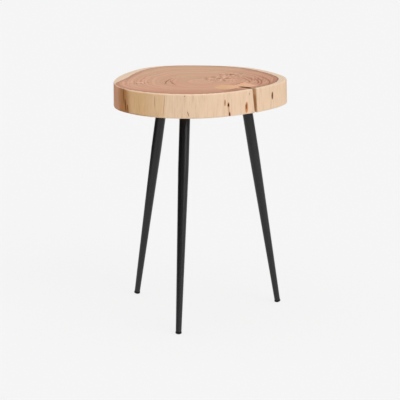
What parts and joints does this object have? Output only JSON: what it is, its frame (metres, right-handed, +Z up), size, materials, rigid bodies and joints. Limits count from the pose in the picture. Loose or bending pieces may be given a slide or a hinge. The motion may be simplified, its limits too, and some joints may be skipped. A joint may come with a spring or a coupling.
{
  "type": "side table",
  "caption": "Small side table: a thick round live-edge slice of a log with a drying check, on slim tapered black metal legs that splay outwards to plastic feet.",
  "frame": {"origin": "on the floor, under the middle of the slab", "axes": "+Z up; -Y towards the front, where the nearest leg stands; +X to the right seen from the front"},
  "size_m": [0.3629, 0.3779, 0.5],
  "materials": {
    "slab_wood": "satin",
    "black_powder_coat": "satin",
    "zinc_steel": "satin",
    "black_plastic": "matte"
  },
  "bodies": {
    "root": {"tabletop_slab": "slab_wood", "mounting_plate_front": "black_powder_coat", "plate_screws_front": "zinc_steel", "weld_nut_front": "zinc_steel", "leg_stud_front": "zinc_steel", "leg_plug_front": "zinc_steel", "leg_tube_front": "black_powder_coat", "foot_glide_front": "black_plastic", "mounting_plate_left": "black_powder_coat", "plate_screws_left": "zinc_steel", "weld_nut_left": "zinc_steel", "leg_stud_left": "zinc_steel", "leg_plug_left": "zinc_steel", "leg_tube_left": "black_powder_coat", "foot_glide_left": "black_plastic", "mounting_plate_right": "black_powder_coat", "plate_screws_right": "zinc_steel", "weld_nut_right": "zinc_steel", "leg_stud_right": "zinc_steel", "leg_plug_right": "zinc_steel", "leg_tube_right": "black_powder_coat", "foot_glide_right": "black_plastic"}
  },
  "joints": []
}
